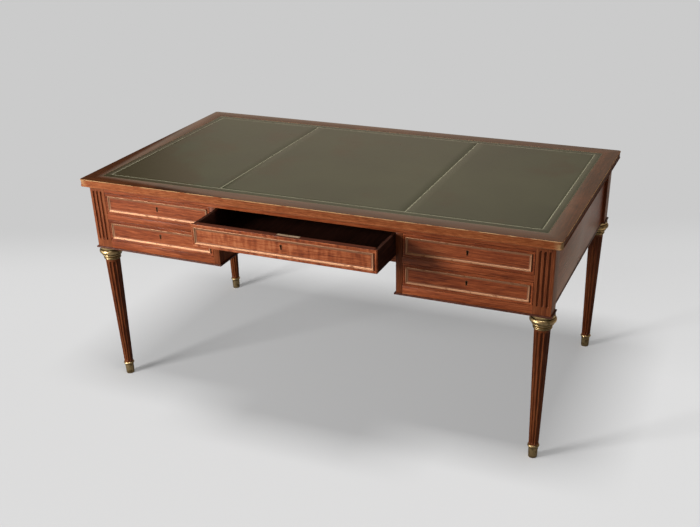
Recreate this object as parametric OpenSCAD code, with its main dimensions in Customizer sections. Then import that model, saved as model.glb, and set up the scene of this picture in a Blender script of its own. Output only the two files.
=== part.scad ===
// Bureau plat: a writing desk with a leather top, five drawers and a kneehole.
// Millimetres, +Z up, +X to the sitter's right, drawers open towards -Y.
// The origin is on the floor, under the middle of the whole standing object.

/* [Overall] */
// Width of the writing top
top_w = 1640; // [1500:10:1900]
// Depth of the writing top
top_d = 910; // [820:10:1050]
// Height of the writing surface above the floor
desk_h = 760; // [735:5:790]

/* [Writing top] */
// Thickness of the top
top_t = 26; // [22:1:32]
// Width of the mahogany border round the leather
border_w = 55; // [45:1:75]
// Rounding of the top's four corners, seen from above
top_corner_r = 10; // [6:1:16]
// Height of the bead along the top's upper edge
upper_bead_h = 5; // [4:0.5:7]
// Height of the bead along the top's lower edge
lower_bead_h = 6; // [4:0.5:7]
// Depth of the flat band between the two beads
band_depth = 1.8; // [1:0.1:2]
// Thickness of the leather
leather_t = 1.2; // [1:0.1:2]

/* [Carcase] */
// How far the top oversails the carcase on every side
overhang = 22; // [16:1:30]
// Width of the square corner posts
post_w = 57; // [50:1:66]
// Thickness of the boards on each side of the kneehole
partition_t = 21.5; // [18:0.5:26]
// Width of the kneehole
kneehole_w = 624; // [560:2:680]
// Thickness of the side and back panels
panel_t = 18; // [14:1:20]
// How far the panels lie behind the faces of the posts
panel_recess = 10; // [6:1:14]
// Thickness of the boards that close the pedestals below
base_board_t = 5; // [4:0.5:8]
// How far those boards stand out past the carcase
base_board_out = 5; // [3:0.5:8]
// How far those boards stand out past the recessed panels
base_board_lip = 1.5; // [0.5:0.5:3]
// Height of the rails above the drawers
top_rail_h = 19.5; // [16:0.5:28]
// Height of the rails between the drawers
middle_rail_h = 21; // [16:0.5:28]
// Height of the rails below the lower drawers
bottom_rail_h = 25.5; // [20:0.5:35]
// Height of every drawer opening
opening_h = 76; // [70:1:84]
// Depth of the rails from front to back
rail_d = 60; // [50:1:80]

/* [Fluting] */
// Number of flutes on each corner post
post_flutes = 3; // [2:1:3]
// Distance between the flutes of a post
post_flute_pitch = 14.5; // [13:0.5:16]
// Radius of the flutes of a post
post_flute_r = 4.8; // [3.5:0.1:5.5]
// Plain wood above the flutes of a post
post_flute_top = 17; // [12:1:30]
// Plain wood below the flutes of a post
post_flute_bottom = 25; // [14:1:34]
// Number of flutes round each leg
leg_flutes = 12; // [8:1:12]
// Radius of a leg flute at its upper end
leg_flute_r_top = 5; // [4:0.1:5.4]
// Radius of a leg flute at its lower end
leg_flute_r_bottom = 3.1; // [2.5:0.1:3.3]
// Plain wood above the flutes of a leg
leg_flute_start = 8; // [5:1:30]
// Plain wood between the flutes of a leg and its foot
leg_flute_end = 5; // [4:1:30]

/* [Legs] */
// Radius of the leg below its collar
leg_r_top = 25.5; // [23:0.5:28]
// Radius of the leg above its foot
leg_r_bottom = 15.8; // [14.5:0.1:17]
// Radius of the leg's neck inside its collar
leg_neck_r = 19; // [17:0.5:21]
// Radius of the tenon that holds the leg in its post
tenon_r = 14; // [12:0.5:16]
// Length of the tenon inside the post
tenon_in_post = 60; // [40:1:90]
// Height of the brass collar
collar_h = 46; // [44:1:54]
// Largest radius of the brass collar
collar_r = 41; // [38:0.5:44]
// Height of the collar's large round moulding
collar_torus_h = 18; // [14:1:20]
// Radius of the collar's flat ring below that moulding
collar_ring_r = 33; // [30:0.5:36]
// Radius of the plate on which the post stands, at the top of the collar
collar_plate_r = 36; // [32:0.5:38]
// Height of that plate
collar_plate_h = 8; // [5:0.5:10]
// Height of the brass foot
foot_h = 48.5; // [44:0.5:60]
// Radius of the brass foot on the floor
foot_r = 14.2; // [13.6:0.1:16]
// Radius of the brass foot below its ring
foot_top_r = 15.5; // [14.5:0.1:17]
// Largest radius of the ring on the brass foot
foot_ring_r = 19; // [18.5:0.5:22]
// Height of that ring
foot_ring_h = 10; // [8:0.5:12]
// Thickness of the floor of the brass foot
foot_floor_t = 6; // [4:0.5:10]
// Radius of the leg's end inside the brass foot
spigot_r = 11; // [9:0.5:12]

/* [Drawers] */
// How far the centre drawer stands open as photographed
centre_open = 150; // [60:5:220]
// Length of the drawers from front to back
drawer_len = 560; // [480:10:640]
// Thickness of the drawer fronts behind their rims
front_t = 20; // [18:1:24]
// Height of the raised rim round a drawer front
rim_h = 1.5; // [1:0.1:2]
// Width of the raised rim round a drawer front
rim_w = 6; // [4:0.5:8]
// Gap between a drawer front and its opening
front_gap = 1; // [0.5:0.1:1.5]
// Thickness of the drawer sides and backs
side_t = 10; // [9:0.5:13]
// Wood of the front that covers the ends of the sides
front_lap = 8; // [6:0.5:10]
// How far the sides and backs lie below the top of a front
side_drop = 3; // [2:0.5:6]
// Thickness of the drawer bottoms
floor_t = 5; // [4:0.5:7]
// Height of the drawer bottoms above the lower edge of the sides
floor_lift = 9; // [8.5:0.5:12]
// Depth of the grooves that hold the drawer bottoms
groove_d = 5; // [3:0.5:6]

/* [Brass frames] */
// Width of the brass bars on the drawer fronts
bar_w = 8.5; // [6:0.5:10]
// Height of the brass bars at their outer edge
bar_h = 3.8; // [3:0.1:5]
// Height of the brass bars at their inner edge
bar_inner_h = 0.8; // [0.5:0.1:1.5]
// Distance from the edge of a drawer front to its brass bars
bar_inset = 9.5; // [9:0.5:14]

/* [Locks] */
// Distance from the top of a drawer front down to its key pin
key_drop = 30; // [28:0.5:32]
// Length of the slot below the key pin
key_slot_l = 9.4; // [6:0.1:11]
// Width of the slot below the key pin
key_slot_w = 3.6; // [2.4:0.2:3.6]
// Radius of the hole round the key pin
key_r = 3; // [2.6:0.1:3.4]
// Radius of the key pin
key_pin_r = 1; // [0.8:0.1:1.2]
// Width of the brass lining's edge round a keyhole
lining_w = 1.3; // [1:0.1:2]
// Depth of the brass lining of a keyhole
lining_t = 3; // [2:0.5:5]
// How far that lining stands out from the wood
lining_out = 0.3; // [0.2:0.1:0.8]
// Length of the lock plate let into the top of a drawer front
lock_plate_l = 76; // [70:1:84]
// Width of that lock plate from front to back
lock_plate_w = 12; // [10:0.5:13]
// Thickness of that lock plate
lock_plate_t = 2; // [1.5:0.1:3]
// Distance from the key pin to the middle of the lock, along the front
lock_offset = 20; // [16:1:22]
// Length of the lock case
lock_case_l = 60; // [56:1:66]
// Height of the lock case below its plate
lock_case_h = 44; // [42:1:46]
// Thickness of the lock case
lock_case_t = 9; // [8.5:0.5:10]
// Distance from the key pin to the middle of the bolt, along the front
bolt_offset = 10; // [8:1:12]
// Length of the bolt along the front
bolt_l = 24; // [18:1:28]
// Thickness of the bolt
bolt_t = 5; // [4:0.2:5.4]
// Height of the bolt
bolt_h = 22; // [18:1:23]
// How far the key lifts the bolt
bolt_lift = 5; // [4:0.5:6]

/* [Inside] */
// Width of the runners and kickers under and over the drawer sides
runner_w = 20; // [16:1:26]
// Thickness of the lowest runners
runner_t = 20; // [12:1:22]
// Height of the side guides
guide_h = 20; // [12:1:30]
// Length of a drawer stop from side to side
stop_l = 40; // [25:1:60]
// Depth of a drawer stop from front to back
stop_d = 14; // [8:1:20]
// Height of a drawer stop
stop_h = 6; // [4:0.5:7]
// Distance from the middle of a drawer to each of its two stops, as a share of its width
stop_place = 0.3; // [0.25:0.01:0.35]
// Distance of the top's screws from the back edge of the rail they pass through
screw_inset = 12; // [9:1:18]
// Distance of the inner screws from the middle of the desk
screw_near = 200; // [150:10:280]
// Distance of the outer screws from the middle of the desk
screw_far = 600; // [590:10:660]
// Radius of those screws
screw_r = 2.2; // [1.8:0.1:2.6]
// Radius of the heads of those screws
screw_head_r = 4.4; // [3.6:0.1:5.2]
// Height of the heads of those screws
screw_head_h = 3; // [2:0.5:4]
// Depth to which those heads are sunk
screw_sink = 5; // [4:0.5:7]
// How far those screws reach into the top
screw_bite = 15; // [10:0.5:18]

/* [Fits] */
// Clearance round glued and let-in pieces
fit = 0.1; // [0.05:0.01:0.2]
// Running clearance below the drawer sides, before the stops and round the bolts
run = 0.3; // [0.2:0.05:0.5]

/* [Hidden] */
$fn = 48;
// Length by which a cutting tool passes the face it cuts
past = 1;
// Straight steps in each bead of the top's edge
arc_steps = 10;

// Carcase: outer faces, heights of its rails and openings, and widths of its bays
case_x = top_w / 2 - overhang;
case_y = top_d / 2 - overhang;
case_top = desk_h - top_t;
upper_top = case_top - top_rail_h;
upper_z = upper_top - opening_h;
lower_top = upper_z - middle_rail_h;
lower_z = lower_top - opening_h;
case_low = lower_z - bottom_rail_h;
leg_top = case_low - base_board_t;
knee_x = kneehole_w / 2;
bay_in = knee_x + partition_t;
bay_out = case_x - post_w;
bay_x = (bay_in + bay_out) / 2;
post_x = case_x - post_w / 2;
post_y = case_y - post_w / 2;
panel_x = case_x - panel_recess;
panel_y = case_y - panel_recess;
rail_y = case_y - rail_d;

// Drawers: depths of their parts when closed, their sizes, and the inner slope of the rim
front_face_y = -case_y + rim_h;
front_back_y = front_face_y + front_t;
side_front_y = front_face_y + front_lap;
drawer_back_y = front_face_y + drawer_len;
front_h = opening_h - 2 * front_gap;
side_h = opening_h - front_gap - side_drop - run;
rim_slope_w = rim_w / 3;
centre_w = kneehole_w - 2 * front_gap;
side_w = bay_out - bay_in - 2 * front_gap;

// The foremost point is the open drawer's brass, the rearmost is the top's back edge
foremost = front_face_y - bar_h - centre_open;
frame_y = -(foremost + top_d / 2) / 2;

// Legs: heights of the shaft and of its flutes
shaft_top = leg_top - collar_h;
flute_high = shaft_top - leg_flute_start - leg_flute_r_top;
flute_low = foot_h + leg_flute_end + leg_flute_r_bottom;

// Each drawer: name, middle, floor of its opening, width, distance it stands open
DRAWERS = [
    ["centre", 0, upper_z, centre_w, centre_open],
    ["left_upper", -bay_x, upper_z, side_w, 0],
    ["left_lower", -bay_x, lower_z, side_w, 0],
    ["right_upper", bay_x, upper_z, side_w, 0],
    ["right_lower", bay_x, lower_z, side_w, 0]
];
DRAWER_PIECES = ["front", "box", "brass_frame", "keyhole_lining", "lock", "bolt"];

// Corners of the desk: name and signs along X and Y
CORNERS = [
    ["front_left", -1, -1],
    ["front_right", 1, -1],
    ["back_left", -1, 1],
    ["back_right", 1, 1]
];
SIDES = [["left", -1], ["right", 1]];

// Colours of the source view
mahogany = [0.48, 0.25, 0.15];
dark_wood = [0.25, 0.13, 0.08];
plain_wood = [0.62, 0.47, 0.32];
hide = [0.28, 0.28, 0.20];
gilt = [0.78, 0.60, 0.34];
steel = [0.55, 0.55, 0.57];

// Places a piece of the desk, drawn about the middle of the top, in the object's own frame
module stand() {
    translate([0, frame_y, 0]) children();
}

// A box from its low corner to its high corner
module block(low, high) {
    translate(low) cube(high - low);
}

// A piece drawn for the right half of the desk, on the side that it belongs to
module on_side(side) {
    mirror([side[1] < 0 ? 1 : 0, 0, 0]) children();
}

// Copies for the left and right halves of the desk
module both_sides() {
    for (s = SIDES) on_side(s) children();
}

// Copies for the front and the back of the desk
module front_and_back() {
    children();
    mirror([0, 1, 0]) children();
}

// Outline of a bar along X, its outer edge on Y = 0, cut at 45 degrees at both ends
module mitred_outline(length, width, gap) {
    polygon([
        [-length / 2 + gap, 0],
        [length / 2 - gap, 0],
        [length / 2 - width - gap, width],
        [-length / 2 + width + gap, width]
    ]);
}

// A bar along X, its outer edge on Y = 0, growing inward along +Y and up along +Z, cut at
// 45 degrees at both ends; the children draw its section, with X inward and Y up
module mitred_bar(length, width, gap) {
    intersection() {
        translate([-length / 2, 0, 0]) rotate([90, 0, 90]) linear_extrude(length) children();
        translate([0, 0, -length]) linear_extrude(2 * length) mitred_outline(length, width, gap);
    }
}

// Four mitred bars round an upright rectangle in the XZ plane, standing out towards -Y
module upright_frame(w, h, width, gap) {
    rotate([90, 0, 0]) {
        translate([0, -h / 2, 0]) mitred_bar(w, width, gap) children();
        translate([0, h / 2, 0]) rotate(180) mitred_bar(w, width, gap) children();
        translate([-w / 2, 0, 0]) rotate(-90) mitred_bar(h, width, gap) children();
        translate([w / 2, 0, 0]) rotate(90) mitred_bar(h, width, gap) children();
    }
}

// Points along an arc
function arc(x, y, r, from, to) =
    [for (i = [0 : arc_steps]) let (a = from + (to - from) * i / arc_steps) [x + r * cos(a), y + r * sin(a)]];

// Section of the top's edge from the centre of the corner rounding outward: a bead, a sunk
// flat band and another bead
module edge_section() {
    lower_r = lower_bead_h / 2;
    upper_r = upper_bead_h / 2;
    polygon(concat(
        [[0, 0]],
        arc(top_corner_r - lower_r, lower_r, lower_r, -90, acos(1 - band_depth / lower_r)),
        arc(top_corner_r - upper_r, top_t - upper_r, upper_r, -acos(1 - band_depth / upper_r), 90),
        [[0, top_t]]
    ));
}

// One mitred length of the top's border, its outer edge on Y = 0, growing inward along +Y
module border_bar(length) {
    straight = length - 2 * top_corner_r;
    intersection() {
        union() {
            translate([straight / 2, top_corner_r, 0]) rotate([90, 0, -90])
                linear_extrude(straight) edge_section();
            for (s = [0, 1]) mirror([s, 0, 0]) translate([straight / 2, top_corner_r, 0])
                intersection() {
                    rotate_extrude() edge_section();
                    translate([0, -2 * top_corner_r, 0]) cube([2 * top_corner_r, 2 * top_corner_r, top_t]);
                }
            translate([-straight / 2, top_corner_r, 0])
                cube([straight, border_w - top_corner_r, top_t]);
        }
        linear_extrude(top_t) mitred_outline(length, border_w, fit);
    }
}

// Copies at the screws of the front rail, from the rail's underside upward
module at_screws() {
    for (x = [-screw_far, -screw_near, screw_near, screw_far])
        translate([x, -rail_y - screw_inset, upper_top]) children();
}

module screw_hole() {
    translate([0, 0, -past]) cylinder(r = screw_head_r + fit, h = screw_sink + past);
    cylinder(r = screw_r + fit, h = top_rail_h + screw_bite + fit);
}

module screw() {
    translate([0, 0, screw_sink - screw_head_h]) cylinder(r = screw_head_r, h = screw_head_h);
    translate([0, 0, screw_sink]) cylinder(r = screw_r, h = top_rail_h + screw_bite - screw_sink);
}

// Writing top

module top_core() {
    color(plain_wood) stand() difference() {
        block([-top_w / 2 + border_w, -top_d / 2 + border_w, case_top],
              [top_w / 2 - border_w, top_d / 2 - border_w, desk_h - leather_t]);
        front_and_back() at_screws() screw_hole();
    }
}

module leather() {
    color(hide) stand()
        block([-top_w / 2 + border_w + fit, -top_d / 2 + border_w + fit, desk_h - leather_t],
              [top_w / 2 - border_w - fit, top_d / 2 - border_w - fit, desk_h]);
}

module top_border() {
    color(mahogany) stand() translate([0, 0, case_top]) {
        translate([0, -top_d / 2, 0]) border_bar(top_w);
        translate([0, top_d / 2, 0]) rotate(180) border_bar(top_w);
        translate([-top_w / 2, 0, 0]) rotate(-90) border_bar(top_d);
        translate([top_w / 2, 0, 0]) rotate(90) border_bar(top_d);
    }
}

// Posts and legs

// A groove with round ends, cut along Z into the face at Y = 0
module post_flute(low, high) {
    translate([0, 0, low + post_flute_r])
        cylinder(r = post_flute_r, h = high - low - 2 * post_flute_r);
    translate([0, 0, low + post_flute_r]) sphere(post_flute_r);
    translate([0, 0, high - post_flute_r]) sphere(post_flute_r);
}

module post(corner) {
    color(mahogany) stand() translate([corner[1] * post_x, corner[2] * post_y, 0]) difference() {
        block([-post_w / 2, -post_w / 2, case_low], [post_w / 2, post_w / 2, case_top]);
        translate([0, 0, case_low - past])
            cylinder(r = tenon_r + fit, h = tenon_in_post + fit + past);
        for (i = [0 : post_flutes - 1])
            translate([(i - (post_flutes - 1) / 2) * post_flute_pitch, corner[2] * post_w / 2, 0])
                post_flute(case_low + post_flute_bottom, case_top - post_flute_top);
    }
}

// A tapering groove along the leg's surface, with round ends
module leg_flute() {
    surface_high = leg_radius(flute_high);
    surface_low = leg_radius(flute_low);
    rise = flute_high - flute_low;
    run_out = surface_high - surface_low;
    translate([surface_low, 0, flute_low]) {
        rotate([0, atan2(run_out, rise), 0])
            cylinder(r1 = leg_flute_r_bottom, r2 = leg_flute_r_top, h = norm([rise, run_out]));
        sphere(leg_flute_r_bottom);
    }
    translate([surface_high, 0, flute_high]) sphere(leg_flute_r_top);
}

function leg_radius(z) =
    leg_r_bottom + (leg_r_top - leg_r_bottom) * (z - foot_h) / (shaft_top - foot_h);

module leg(corner) {
    color(mahogany) stand() translate([corner[1] * post_x, corner[2] * post_y, 0]) {
        difference() {
            translate([0, 0, foot_h])
                cylinder(r1 = leg_r_bottom, r2 = leg_r_top, h = shaft_top - foot_h);
            for (i = [0 : leg_flutes - 1])
                rotate((i + 0.5) * 360 / leg_flutes) leg_flute();
        }
        translate([0, 0, foot_floor_t]) cylinder(r = spigot_r, h = foot_h - foot_floor_t + past);
        translate([0, 0, shaft_top - past]) cylinder(r = leg_neck_r, h = collar_h + past);
        translate([0, 0, leg_top - past])
            cylinder(r = tenon_r, h = base_board_t + tenon_in_post + past);
    }
}

// Section of the collar, its upper face on Y = 0
module collar_section() {
    torus_r = collar_torus_h / 2;
    torus_mid = collar_plate_h + torus_r;
    ring_high = collar_plate_h + collar_torus_h;
    ring_h = (collar_h - ring_high) * 0.6;
    neck_h = collar_h - ring_high - ring_h;
    bead_r = neck_h / 4;
    foot_of_collar = leg_r_top + bead_r;
    difference() {
        union() {
            translate([0, -collar_plate_h]) square([collar_plate_r, collar_plate_h]);
            translate([0, -ring_high]) square([collar_r - torus_r, collar_torus_h]);
            translate([collar_r - torus_r, -torus_mid]) circle(torus_r);
            polygon([
                [0, -ring_high],
                [collar_ring_r, -ring_high],
                [collar_ring_r, -ring_high - ring_h * 0.55],
                [foot_of_collar, -ring_high - ring_h],
                [foot_of_collar, -collar_h],
                [0, -collar_h]
            ]);
            for (i = [1, 3])
                translate([foot_of_collar, -collar_h + i * bead_r]) circle(bead_r);
        }
        translate([-collar_r, -collar_h - past])
            square([collar_r + leg_neck_r + fit, collar_h + 2 * past]);
    }
}

module leg_collars() {
    color(gilt) stand() for (c = CORNERS)
        translate([c[1] * post_x, c[2] * post_y, leg_top]) rotate_extrude() collar_section();
}

module leg_feet() {
    ring_r = foot_ring_h / 2;
    color(gilt) stand() for (c = CORNERS)
        translate([c[1] * post_x, c[2] * post_y, 0]) rotate_extrude() difference() {
            union() {
                polygon([
                    [0, 0],
                    [foot_r, 0],
                    [foot_top_r, foot_h - foot_ring_h],
                    [foot_top_r, foot_h],
                    [0, foot_h]
                ]);
                translate([foot_ring_r - ring_r, foot_h - ring_r]) circle(ring_r);
            }
            translate([-foot_ring_r, foot_floor_t - fit])
                square([foot_ring_r + spigot_r + fit, foot_h]);
        }
}

// Carcase

module side_panel(side) {
    color(mahogany) stand() on_side(side)
        block([panel_x - panel_t, -case_y + post_w, case_low],
              [panel_x, case_y - post_w, case_top]);
}

module partition(side) {
    color(mahogany) stand() on_side(side) difference() {
        block([knee_x, -case_y, case_low], [bay_in, case_y, case_top]);
        front_and_back()
            block([knee_x - past, -case_y - past, upper_top], [bay_in + past, -rail_y, case_top + past]);
    }
}

module back_panel(side) {
    color(mahogany) stand() on_side(side)
        block([bay_in, panel_y - panel_t, lower_z], [bay_out, panel_y, upper_top]);
}

module back_panel_centre() {
    color(mahogany) stand()
        block([-knee_x, panel_y - panel_t, upper_z], [knee_x, panel_y, upper_top]);
}

module base_boards() {
    color(dark_wood) stand() both_sides() difference() {
        block([knee_x - base_board_out, -case_y - base_board_out, leg_top],
              [case_x + base_board_out, case_y + base_board_out, case_low]);
        for (y = [-post_y, post_y])
            translate([post_x, y, leg_top - past])
                cylinder(r = tenon_r + fit, h = base_board_t + 2 * past);
        block([panel_x + base_board_lip, -case_y + post_w, leg_top - past],
              [case_x + base_board_out + past, case_y - post_w, case_low + past]);
        block([bay_in, panel_y + base_board_lip, leg_top - past],
              [bay_out, case_y + base_board_out + past, case_low + past]);
    }
}

// The slot above a drawer's bolt, in the rail over that drawer
module bolt_slot(x, z) {
    block([x + bolt_offset - bolt_l / 2 - run, bolt_front_y() - run, z - past],
          [x + bolt_offset + bolt_l / 2 + run, bolt_front_y() + bolt_t + run,
           z + bolt_lift + run]);
}

module top_rails() {
    color(mahogany) stand() {
        difference() {
            block([-bay_out, -case_y, upper_top], [bay_out, -rail_y, case_top]);
            for (x = [-bay_x, 0, bay_x]) bolt_slot(x, upper_top);
            at_screws() screw_hole();
        }
        difference() {
            block([-bay_out, rail_y, upper_top], [bay_out, case_y, case_top]);
            mirror([0, 1, 0]) at_screws() screw_hole();
        }
    }
}

module middle_rails() {
    color(mahogany) stand() {
        for (x = [-bay_x, bay_x]) difference() {
            block([x - side_w / 2 - front_gap, -case_y, lower_top],
                  [x + side_w / 2 + front_gap, -rail_y, upper_z]);
            bolt_slot(x, lower_top);
        }
        front_and_back() block([-knee_x, -case_y, lower_top], [knee_x, -rail_y, upper_z]);
    }
}

module bottom_rails() {
    color(mahogany) stand() both_sides() front_and_back()
        block([bay_in, -case_y, case_low], [bay_out, -rail_y, lower_z]);
}

// Inside the carcase

// Strips that carry or hold down the drawers: beside the kneehole, beside the partition and
// along the side panel, between two heights
module centre_strip(low, high) {
    block([knee_x - runner_w, -rail_y, low], [knee_x, rail_y, high]);
}

module bay_strips(low, high) {
    block([bay_in, -rail_y, low], [bay_in + runner_w, rail_y, high]);
    block([bay_out - runner_w, -rail_y, low], [panel_x - panel_t, rail_y, high]);
}

module runners() {
    color(plain_wood) stand() both_sides() {
        centre_strip(lower_top, upper_z);
        bay_strips(lower_top, upper_z);
        bay_strips(lower_z - runner_t, lower_z);
    }
}

module kickers() {
    color(plain_wood) stand() both_sides() {
        centre_strip(upper_top, case_top);
        bay_strips(upper_top, case_top);
    }
}

module guides() {
    color(plain_wood) stand() both_sides() for (z = [lower_z, upper_z])
        block([bay_out, -rail_y, z], [panel_x - panel_t, rail_y, z + guide_h]);
}

module drawer_stops() {
    color(plain_wood) stand() for (d = DRAWERS) for (s = [-1, 1])
        translate([d[1] + s * stop_place * d[3], front_back_y + run, d[2]])
            translate([-stop_l / 2, 0, 0]) cube([stop_l, stop_d, stop_h]);
}

module top_screws() {
    color(steel) stand() front_and_back() at_screws() screw();
}

// Drawers, drawn closed about the middle of their own front and slid out by stand_open()

module stand_open(d) {
    stand() translate([d[1], -d[4], d[2]]) children();
}

// Keyhole shape about the key pin, in the XZ plane, cut from one depth to another
module keyhole(wider, from_y, to_y) {
    translate([0, to_y, front_gap + front_h - key_drop]) rotate([90, 0, 0])
        linear_extrude(to_y - from_y) {
            circle(key_r + wider);
            translate([0, -key_slot_l]) circle(key_slot_w / 2 + wider);
            translate([-key_slot_w / 2 - wider, -key_slot_l])
                square([key_slot_w + 2 * wider, key_slot_l]);
        }
}

// The lock's outer form, or with clearance and open towards the back and top, its recess
module lock_form(clear, out) {
    top = front_gap + front_h;
    block([lock_offset - lock_plate_l / 2 - clear, front_back_y - lock_plate_w - clear,
           top - lock_plate_t],
          [lock_offset + lock_plate_l / 2 + clear, front_back_y + out, top + out]);
    block([lock_offset - lock_case_l / 2 - clear, front_back_y - lock_case_t - clear,
           top - lock_plate_t - lock_case_h - clear],
          [lock_offset + lock_case_l / 2 + clear, front_back_y + out, top + out]);
}

function bolt_front_y() = front_back_y - lock_case_t / 2 - bolt_t / 2;

// The bolt, or the space it slides in
module bolt_form(clear, above) {
    top = front_gap + front_h;
    block([bolt_offset - bolt_l / 2 - clear, bolt_front_y() - clear, top - bolt_h - clear],
          [bolt_offset + bolt_l / 2 + clear, bolt_front_y() + bolt_t + clear, top + above]);
}

// Section across a front before it is sunk inside its rim, rounded over at both ends; X across
// and Y out of its face
module raised_section(length, depth) {
    polygon(concat(
        [[-length / 2, -depth], [length / 2, -depth]],
        arc(length / 2 - rim_h, 0, rim_h, 0, 90),
        arc(-length / 2 + rim_h, 0, rim_h, 90, 180)
    ));
}

// Section of the space inside the rim, whose inner sides slope
module sunk_section(length, low) {
    slope = rim_slope_w / rim_h;
    high = rim_h + past;
    inside = length / 2 - rim_w;
    polygon([
        [-inside - slope * low, low],
        [inside + slope * low, low],
        [inside + slope * high, high],
        [-inside - slope * high, high]
    ]);
}

// What two sections have in common, carried over a board of this size: the first child is
// its section from low to high, the second its section from left to right
module crossed(w, h) {
    intersection() {
        translate([-w / 2 - past, 0, 0]) rotate([90, 0, 90]) linear_extrude(w + 2 * past) children(0);
        translate([0, h / 2 + past, 0]) rotate([90, 0, 0]) linear_extrude(h + 2 * past) children(1);
    }
}

// A drawer front with its rim, its face on Z = 0
module rimmed_board(w, h) {
    difference() {
        crossed(w, h) {
            raised_section(h, front_t);
            raised_section(w, front_t + past);
        }
        crossed(w, h) {
            sunk_section(h, 0);
            sunk_section(w, -past);
        }
    }
}

module drawer_front(d) {
    w = d[3];
    color(mahogany) stand_open(d) difference() {
        translate([0, front_face_y, front_gap + front_h / 2]) rotate([90, 0, 0])
            rimmed_board(w, front_h);
        for (s = [0, 1]) mirror([s, 0, 0])
            block([w / 2 - side_t - fit, side_front_y - fit, 0],
                  [w / 2 + past, front_back_y + past, opening_h]);
        block([-w / 2 - past, front_back_y - groove_d - fit, run + floor_lift - fit],
              [w / 2 + past, front_back_y + past, run + floor_lift + floor_t + fit]);
        lock_form(fit, past);
        keyhole(0, front_face_y - past, front_back_y);
        keyhole(lining_w + fit, front_face_y - past, front_face_y + lining_t);
    }
}

// Two sides, a back and a bottom
module drawer_box(d) {
    w = d[3];
    color(plain_wood) stand_open(d) {
        for (s = [0, 1]) mirror([s, 0, 0]) difference() {
            block([w / 2 - side_t, side_front_y, run], [w / 2, drawer_back_y, run + side_h]);
            block([w / 2 - side_t - past, side_front_y - past, run + floor_lift - fit],
                  [w / 2 - side_t + groove_d + fit, drawer_back_y + past,
                   run + floor_lift + floor_t + fit]);
        }
        block([-w / 2 + side_t + fit, drawer_back_y - side_t, run + floor_lift + floor_t + fit],
              [w / 2 - side_t - fit, drawer_back_y, run + side_h]);
        block([-w / 2 + side_t - groove_d, front_back_y - groove_d, run + floor_lift],
              [w / 2 - side_t + groove_d, drawer_back_y, run + floor_lift + floor_t]);
    }
}

// Four mitred brass bars, highest at the outer edge and rounded over inward
module bar_section() {
    shoulder = bar_w * 0.25;
    polygon([
        [0, 0],
        [0, bar_h * 0.8],
        [shoulder * 0.3, bar_h],
        [shoulder, bar_h],
        [bar_w * 0.7, bar_inner_h + (bar_h - bar_inner_h) * 0.45],
        [bar_w, bar_inner_h],
        [bar_w, 0]
    ]);
}

module drawer_brass_frame(d) {
    color(gilt) stand_open(d) translate([0, front_face_y, front_gap + front_h / 2])
        upright_frame(d[3] - 2 * bar_inset, front_h - 2 * bar_inset, bar_w, fit) bar_section();
}

module drawer_keyhole_lining(d) {
    color(gilt) stand_open(d) difference() {
        keyhole(lining_w, front_face_y - lining_out, front_face_y + lining_t);
        keyhole(0, front_face_y - lining_out - past, front_face_y + lining_t + past);
    }
}

module drawer_lock(d) {
    pin_z = front_gap + front_h - key_drop;
    color(steel) stand_open(d) {
        difference() {
            lock_form(0, 0);
            bolt_form(run, past);
            keyhole(0, front_face_y, front_back_y - lock_case_t / 2);
            translate([0, bolt_front_y() + bolt_t + run, pin_z]) rotate([90, 0, 0])
                cylinder(r = key_drop - bolt_h, h = bolt_t + 2 * run);
        }
        translate([0, front_back_y - past, pin_z]) rotate([90, 0, 0])
            cylinder(r = key_pin_r, h = front_t - lining_t - past);
    }
}

module drawer_bolt(d) {
    color(gilt) stand_open(d) bolt_form(0, 0);
}

top_core();
leather();
top_border();
for (c = CORNERS) {
    post(c);
    leg(c);
}
leg_collars();
leg_feet();
for (s = SIDES) {
    side_panel(s);
    partition(s);
    back_panel(s);
}
back_panel_centre();
base_boards();
top_rails();
middle_rails();
bottom_rails();
runners();
guides();
kickers();
drawer_stops();
top_screws();
for (d = DRAWERS) {
    drawer_front(d);
    drawer_box(d);
    drawer_brass_frame(d);
    drawer_keyhole_lining(d);
    drawer_lock(d);
    drawer_bolt(d);
}
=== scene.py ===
import math

import bmesh
import bpy
from mathutils import Matrix, Vector


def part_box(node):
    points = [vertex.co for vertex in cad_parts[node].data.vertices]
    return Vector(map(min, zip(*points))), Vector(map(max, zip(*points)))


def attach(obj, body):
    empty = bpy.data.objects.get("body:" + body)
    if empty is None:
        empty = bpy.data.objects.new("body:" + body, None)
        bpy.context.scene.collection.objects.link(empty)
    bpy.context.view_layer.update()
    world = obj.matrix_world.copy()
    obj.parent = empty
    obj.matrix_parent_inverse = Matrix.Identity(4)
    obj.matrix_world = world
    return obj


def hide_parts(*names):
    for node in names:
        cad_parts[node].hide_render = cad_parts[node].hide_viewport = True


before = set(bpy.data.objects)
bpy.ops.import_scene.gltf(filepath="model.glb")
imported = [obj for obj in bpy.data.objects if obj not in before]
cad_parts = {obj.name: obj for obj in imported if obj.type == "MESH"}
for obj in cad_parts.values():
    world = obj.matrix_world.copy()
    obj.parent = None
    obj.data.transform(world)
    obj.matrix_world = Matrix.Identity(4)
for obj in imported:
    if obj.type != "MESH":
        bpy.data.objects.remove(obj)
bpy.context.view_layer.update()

# Sizes of the desk, in metres. Places come from the frame.

MM = 0.001
DRAWERS = ("centre", "left_upper", "left_lower", "right_upper", "right_lower")
CORNERS = ("front_left", "front_right", "back_left", "back_right")

top_low, top_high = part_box("top_border")
leather_low, leather_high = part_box("leather")
desk_y = (top_low.y + top_high.y) / 2
top_width = top_high.x - top_low.x
top_depth = top_high.y - top_low.y
top_z = top_high.z
border_width = 55 * MM
leather_half_x = (leather_high.x - leather_low.x) / 2
leather_half_y = (leather_high.y - leather_low.y) / 2

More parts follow.
